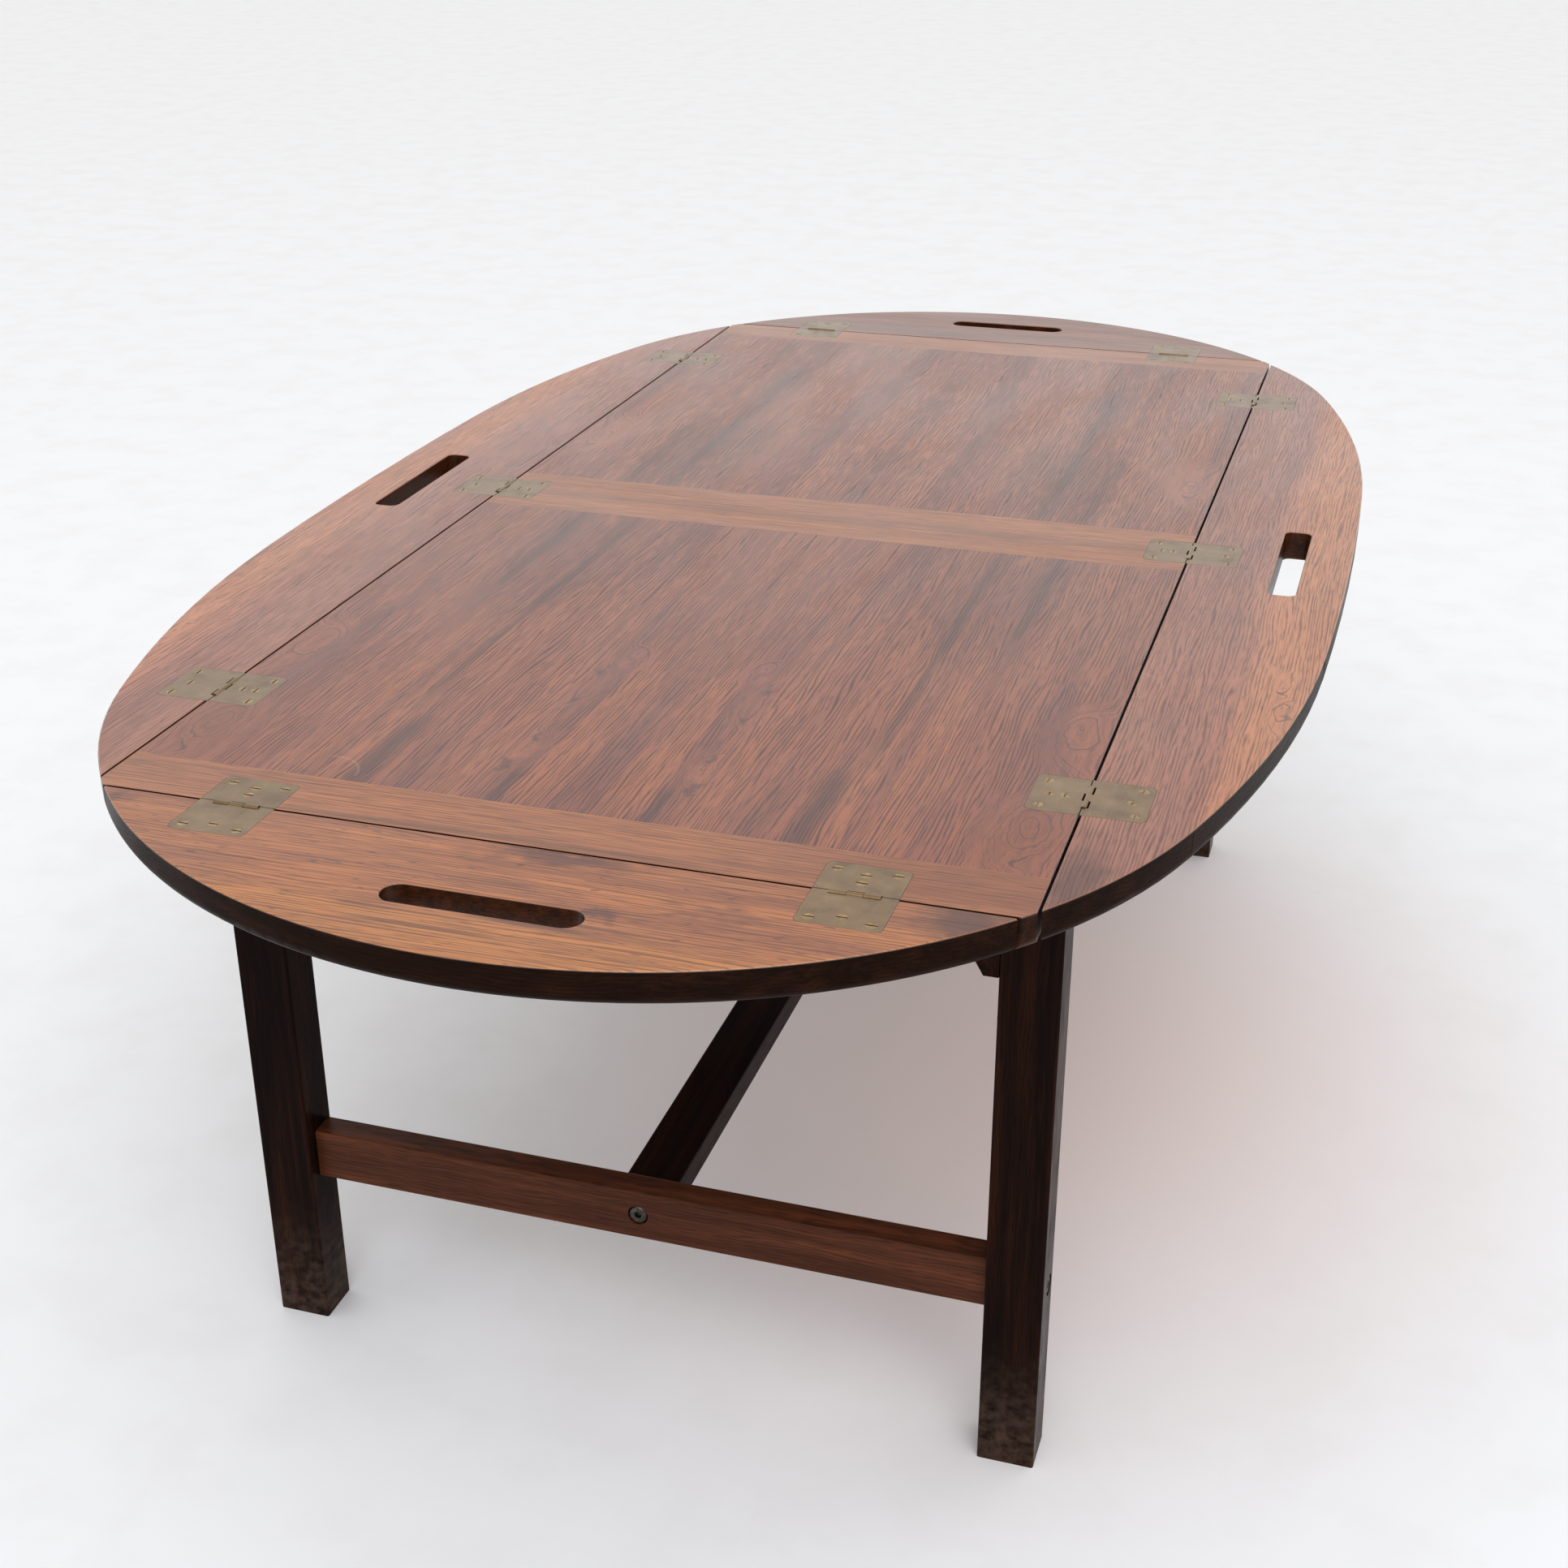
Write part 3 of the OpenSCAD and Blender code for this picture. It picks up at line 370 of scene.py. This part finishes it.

# Rosewood flap veneer: grain across the table on the end flaps, along it on the side flaps. The top edge
# is painted pale, partly as rubbed wear and partly as a painted highlight, and the edge under it is stained
# like the rim.
# Pale top edge: rubbed wear and a painted highlight on the arris; the dark band below it is stain
flapEdgeHighlightAndStain = [(479.9, 0.06, 0.35, "#b0805e"), (479.4, 0.1, 1.0, "#1d0e09")]
endFlap = {
    **crossBand, "seed": 5.2, "bandWide": 15, "lines": 0.5, "pores": 0.65, "clouds": 0.35, "flecks": 0.6,
    "light": "#b8723c", "mid": "#ad683b", "dark": "#7f4934", "cloud": "#683a30", "edges": flapEdgeHighlightAndStain,
}
sideFlap = {
    **rosewood, "bandWide": 20, "bands": 0.6, "flecks": 0.3, "pores": 0.6,
    "light": "#bb7955", "mid": "#b06c52", "dark": "#8d5642", "cloud": "#744a42", "edges": flapEdgeHighlightAndStain,
}
flaps = {
    "front": {
        **endFlap,
        "patches": [(-603, 22, 14, 60, 0.75, "#4a2529"), (-608, 256, 34, 44, 0.8, "#4a2a26"),
                    (-606, -265, 12, 36, 0.65, "#3f2226"), (-656, 66, 9, 24, 0.7, "#4a2529"),
                    (-637, 130, 14, 50, 0.5, "#6a3c30")],
        "strips": [(-700, 26, 16, -300, 300, 60, 0.4, "#c98236"), (-692, 2, 1, -60, 20, 16, 0.6, "#42241c"),
                   (-675, 2, 1, 5, 70, 16, 0.6, "#42241c")],
    },
    "back": {**endFlap, "seed": 6.6, "light": "#995d39", "mid": "#834a32", "dark": "#68392d",
             "patches": [(612, -60, 20, 120, 0.4, "#4a2c2e")]},
    "right": {
        **sideFlap, "seed": 7.9,
        "strips": [(310, 34, 16, -700, 700, 20, 0.5, "#7c5147"),
                   (386, 34, 14, -700, 700, 20, 0.55, "#c4804e")],
        "eyes": [(374, -292, 10, 34, 0.2), (370, -236, 8, 24, -0.2)],
        "patches": [(376, -292, 6, 14, 0.6, "#4a2c26"), (293, -560, 26, 90, 0.75, "#4f2c24")],
        "glassRings": [(277, -267, 22, 1.6, 0.3)],
    },
    "left": {
        **sideFlap, "seed": 9.4,
        "strips": [(-310, 34, 16, -700, 700, 20, 0.5, "#83574c"),
                   (-386, 34, 14, -700, 700, 20, 0.4, "#c4804e")],
        "eyes": [(-367, -370, 10, 30, 0.2), (-370, -322, 8, 24, -0.2)],
    },
}
for side, flap in flaps.items():
    dress(woodMaterial("lacquered rosewood flap, " + side, flap), side + "_flap_veneer")
print("veneers laid")

# Rosewood backing veneer with one thin coat: quiet straight grain, dull
backing = {
    **rosewood, "seed": 11.0, "light": "#8a5439", "mid": "#7b4832", "dark": "#643b2b",
    "lines": 0.3, "narrow": 0.35, "rough": 0.55, "bloom": 0.0, "edges": [],
}
dress(woodMaterial("thinly lacquered rosewood backing, along", backing),
      "tray_underside", "left_flap_underside", "right_flap_underside")
dress(woodMaterial("thinly lacquered rosewood backing, across", {**backing, "grain": "YXZ"}),
      "front_flap_underside", "back_flap_underside")

# Solid rosewood stained nearly black and lacquered: dark, with the grain barely seen. Its shine is held
# down, because the pale floor would turn it grey at a low angle.
darkWood = {
    **rosewood, "grain": "XZY", "seed": 12.5, "wander": [(60, 300, 5), (12, 60, 0.8)],
    "bandWide": 12, "bandLong": 300, "bands": 1.0, "narrow": 0.5, "clouds": 0.3,
    "flecks": 0.0, "dashes": 0.3,
    "light": "#29140c", "mid": "#1a0d09", "dark": "#110907", "cloud": "#150b0a", "line": "#0b0605",
    "lineGap": 6, "lines": 0.4, "poreLong": 18, "pores": 0.5,
    "rough": 0.28, "specular": 0.025, "bump": 0.2, "bloom": 0.0, "edges": [],
}
rim = {
    **darkWood, "grain": "ZXY", "bands": 0.6, "narrow": 0.3, "clouds": 0.2,
    "light": "#2d170d", "mid": "#1f1009", "dark": "#150a06", "rough": 0.34, "specular": 0.02,
}
dress(woodMaterial("stained rosewood rim, ends", rim), "front_flap_lipping", "back_flap_lipping")
dress(woodMaterial("stained rosewood rim, sides", {**rim, "grain": "ZYX"}),
      "left_flap_lipping", "right_flap_lipping")

# Scuffs: the height that they reach, their strength and colour
legs = {**darkWood, "scuffs": [(110, 0.5, "#5f4c41")]}
dress(woodMaterial("stained rosewood legs", legs),
      "leg_front_left", "leg_front_right", "leg_back_left", "leg_back_right")
dress(woodMaterial("stained rosewood rails, along", {**darkWood, "grain": "XYZ", "seed": 14.0}),
      "side_rail_left", "side_rail_right", "long_stretcher")
dress(woodMaterial("stained rosewood rails, across", {**darkWood, "grain": "ZXY", "seed": 15.0}),
      "end_rail_front", "end_rail_back")

# The end stretchers have less stain: red brown
endStretcher = {
    **darkWood, "grain": "ZXY", "seed": 16.0, "bands": 0.6, "narrow": 0.35,
    "light": "#643722", "mid": "#4f2b1a", "dark": "#3e2014", "cloud": "#341b13", "line": "#22110c",
    "rough": 0.32, "specular": 0.08,
}
dress(woodMaterial("lacquered rosewood stretchers", endStretcher),
      "end_stretcher_front", "end_stretcher_back")

# The solid edge of the tray and its battens: dark brown
trayEdge = {
    **darkWood, "grain": "ZYX", "seed": 17.0, "light": "#3c1f0e", "mid": "#2b160b", "dark": "#1c0e08",
    "line": "#160b07", "rough": 0.3, "specular": 0.04,
}
dress(woodMaterial("lacquered tray edge, along", trayEdge), "tray_lipping_left", "tray_lipping_right")
dress(woodMaterial("lacquered tray edge, across", {**trayEdge, "grain": "ZXY"}),
      "tray_lipping_front", "tray_lipping_back", "tray_batten_front", "tray_batten_back")

# The board inside: its cut edges are stained and lacquered red brown where a slot or seam shows them
board = {
    **darkWood, "grain": "ZYX", "seed": 18.0, "bands": 0.5, "light": "#542b14", "mid": "#3e1f0e",
    "dark": "#2a150b", "cloud": "#28140a", "specular": 0.15,
}
dress(woodMaterial("stained board edge", board), "tray_core", *[side + "_flap_core" for side in sides])

# Beech dowels: pale, raw, straight grained
beech = {
    **darkWood, "grain": "XYZ", "seed": 19.0, "light": "#cfa678", "mid": "#bd9265", "dark": "#a67c52",
    "cloud": "#b0855a", "line": "#8a6440", "rough": 0.6,
}
dress(woodMaterial("raw beech dowel", beech), "rail_dowels")
print("solid woods done")


# Tarnish and rubbed places lie in soft clouds, and rubbing leaves fine scratches, drawn coarse so that
# they show
metalMarks = {
    "tarnish": {"none": 0.5, "full": 0.3, "detail": 4.0, "shift": 0},
    "rubbed": {"none": 0.5, "full": 0.72, "detail": 4.0, "shift": 0},
    "scratches": {"none": 0.5, "full": 0.7, "detail": 2.0, "shift": 2},
}
metalWear = {"scratchLong": 20, "scratchPale": 0.35, "scratchBump": 0.2, "scratchDeep": 0.05,
             "dullTarnish": 0.12, "lacquerRough": 0.3}


def metalMaterial(name, metal):
    material, tree, shader = newMaterial(name)
    coords = addNode(tree, "TexCoord", {}, "Object")
    inMm = addNode(tree, "Mapping", {"Vector": coords, "Scale": (1 / mm, 1 / mm, 1 / mm)})
    cloud = {"wide": metal["cloud"], "long": metal["cloud"]}
    line = {"wide": metal["scratch"], "long": metal["scratch"] * metalWear["scratchLong"]}
    dull = grainMarks(tree, inMm, {**metalMarks["tarnish"], **cloud})
    clean = grainMarks(tree, inMm, {**metalMarks["rubbed"], **cloud})
    scratch = grainMarks(tree, inMm, {**metalMarks["scratches"], **line}, metalWear["scratchPale"])
    colour = layOver(tree, linear(metal["mid"]), [
        (dull, metal["tarnish"]), (clean, metal["bright"]), (scratch, metal["bright"])])
    tree.links.new(colour, shader.inputs["Base Color"])
    gloss = addNode(tree, "Math", {
        0: dull, 1: metalWear["dullTarnish"], 2: metal["rough"]}, operation="MULTIPLY_ADD")
    tree.links.new(gloss, shader.inputs["Roughness"])
    worn = addNode(tree, "Bump", {
        "Height": scratch, "Strength": metalWear["scratchBump"], "Distance": metalWear["scratchDeep"] * mm})
    tree.links.new(worn, shader.inputs["Normal"])
    shader.inputs["Metallic"].default_value = 1.0
    shader.inputs["Coat Weight"].default_value = metal["lacquer"]  # clear lacquer, milky at a low angle
    shader.inputs["Coat Roughness"].default_value = metalWear["lacquerRough"]
    return material


# Brass, aged under satin lacquer: olive brown with paler rubbed places, brighter on the screw heads
agedBrass = {"cloud": 18, "scratch": 1.1, "rough": 0.42, "lacquer": 0.85,
             "tarnish": "#715632", "mid": "#7e6139", "bright": "#8f7249"}
wornBrass = {"cloud": 4, "scratch": 0.8, "rough": 0.33, "lacquer": 0.4,
             "tarnish": "#7f6644", "mid": "#9c8057", "bright": "#bba075"}
dress(metalMaterial("aged satin brass leaf", agedBrass), "hinge_pins",
      *["tray_leaves_" + side for side in sides], *[side + "_flap_leaves" for side in sides])
dress(metalMaterial("rubbed brass screw", wornBrass), "tray_leaf_screws", "rail_screws", "batten_screws",
      *[side + "_flap_screws" for side in sides])

# Steel, burnished dark: bolts and barrel nuts with a dull grey shine
darkSteel = {"cloud": 3, "scratch": 0.8, "rough": 0.4, "lacquer": 0.0,
             "tarnish": "#2c2926", "mid": "#44403a", "bright": "#6f6960"}
dress(metalMaterial("burnished steel bolt", darkSteel), "leg_bolts", "stretcher_bolts", "barrel_nuts")
print("metals done")

# A pale painted floor that takes the shadow. Right of the table a pink glow is painted into its colour:
# painted bounce light, for the light that red wood throws back. All in metres: the painted bounce has its
# middle, half width and half length.
floorPaint = {
    "size": 100.0, "colour": "#f5f7fa", "rough": 0.8, "scuffed": "#f0f1f3", "scuffStrength": 0.6,
    "scuffs": {"wide": 0.08, "long": 0.08, "none": 0.4, "full": 0.7, "detail": 3.0, "shift": 0},
    "paintedBounce": "#f1e2df", "paintedBouncePlace": (0.2, 0.02, 0.5, 0.65), "paintedBounceFade": (0.1, 1.1),
}


def layFloor():
    bm = bmesh.new()
    bmesh.ops.create_grid(bm, x_segments=1, y_segments=1, size=floorPaint["size"] / 2)
    mesh = bpy.data.meshes.new("floor")
    bm.to_mesh(mesh)
    bm.free()
    floor = bpy.data.objects.new("floor", mesh)
    bpy.context.scene.collection.objects.link(floor)
    material, tree, shader = newMaterial("matt painted floor")
    coords = addNode(tree, "TexCoord", {}, "Object")
    scuffs = grainMarks(tree, coords, floorPaint["scuffs"], floorPaint["scuffStrength"])
    # Painted bounce light: a soft pink oval laid into the floor colour right of the table
    distance = fromMiddle(tree, coords, *floorPaint["paintedBouncePlace"])
    near, far = floorPaint["paintedBounceFade"]
    paintedBounce = addNode(tree, "MapRange", {0: distance, 1: near, 2: far, 3: 1.0, 4: 0.0}, **soft)
    colour = layOver(tree, linear(floorPaint["colour"]), [
        (scuffs, floorPaint["scuffed"]), (paintedBounce, floorPaint["paintedBounce"])])
    tree.links.new(colour, shader.inputs["Base Color"])
    shader.inputs["Roughness"].default_value = floorPaint["rough"]
    # From below the floor is clear, so that the underside of the table can be looked at
    below = addNode(tree, "NewGeometry", {}, "Backfacing")
    clear = addNode(tree, "BsdfTransparent", {})
    oneSided = addNode(tree, "MixShader", {0: below, 1: shader.outputs[0], 2: clear})
    tree.links.new(oneSided, tree.nodes["Material Output"].inputs["Surface"])
    mesh.materials.append(material)


# One big soft lamp at the front right
softBox = {"size": 4.0, "place": (1.5, -3.8, 3.5), "aim": (0.1, -0.7, 0.0), "watts": 105.0,
           "colour": "#f6faff"}


def hangLamp():
    lamp = bpy.data.lights.new("soft box", "AREA")
    lamp.shape = "SQUARE"
    lamp.size = softBox["size"]
    lamp.energy = softBox["watts"]
    lamp.color = linear(softBox["colour"])[:3]
    box = bpy.data.objects.new("soft box", lamp)
    bpy.context.scene.collection.objects.link(box)
    box.location = softBox["place"]
    aim = Vector(softBox["aim"]) - box.location
    box.rotation_euler = aim.to_track_quat("-Z", "Y").to_euler()


# The room: plain white to the camera and in reflections, and a plain even fill as a light
room = {"seen": "#ffffff", "fill": "#fffdfb", "fillLevel": 0.93}


def surroundWithWhite():
    world = bpy.data.worlds.new("studio")
    bpy.context.scene.world = world
    world.use_nodes = True
    tree = world.node_tree
    tree.nodes.clear()
    rays = addNode(tree, "LightPath", {}).node.outputs
    seen = addNode(tree, "Math", {0: rays["Is Camera Ray"], 1: rays["Is Glossy Ray"]}, operation="MAXIMUM")
    seen = addNode(tree, "Math", {0: seen, 1: rays["Is Transmission Ray"]}, operation="MAXIMUM")
    fill = addNode(tree, "Background", {"Color": linear(room["fill"]), "Strength": room["fillLevel"]})
    white = addNode(tree, "Background", {"Color": linear(room["seen"]), "Strength": 1.0})
    both = addNode(tree, "MixShader", {0: seen, 1: fill, 2: white})
    addNode(tree, "OutputWorld", {"Surface": both})


layFloor()
hangLamp()
surroundWithWhite()

# The camera, solved from the seams of the tray and the feet of the legs: metres, degrees and mm
view = {"place": (0.4483, -1.5574, 1.0226), "turn": 17.44, "down": 25.58, "roll": -0.19,
        "lens": 49.175, "film": 36.0}


def placeCamera():
    lens = bpy.data.cameras.new("camera")
    lens.lens = view["lens"]
    lens.sensor_width = view["film"]
    camera = bpy.data.objects.new("camera", lens)
    bpy.context.scene.collection.objects.link(camera)
    camera.location = view["place"]
    turn = Matrix.Rotation(math.radians(view["turn"]), 3, "Z")
    tilt = Matrix.Rotation(math.radians(90 - view["down"]), 3, "X")
    roll = Matrix.Rotation(math.radians(view["roll"]), 3, "Z")
    camera.rotation_euler = (turn @ tilt @ roll).to_euler()
    bpy.context.scene.camera = camera
    bpy.context.scene.view_settings.view_transform = "Standard"


placeCamera()
print("studio and camera set")
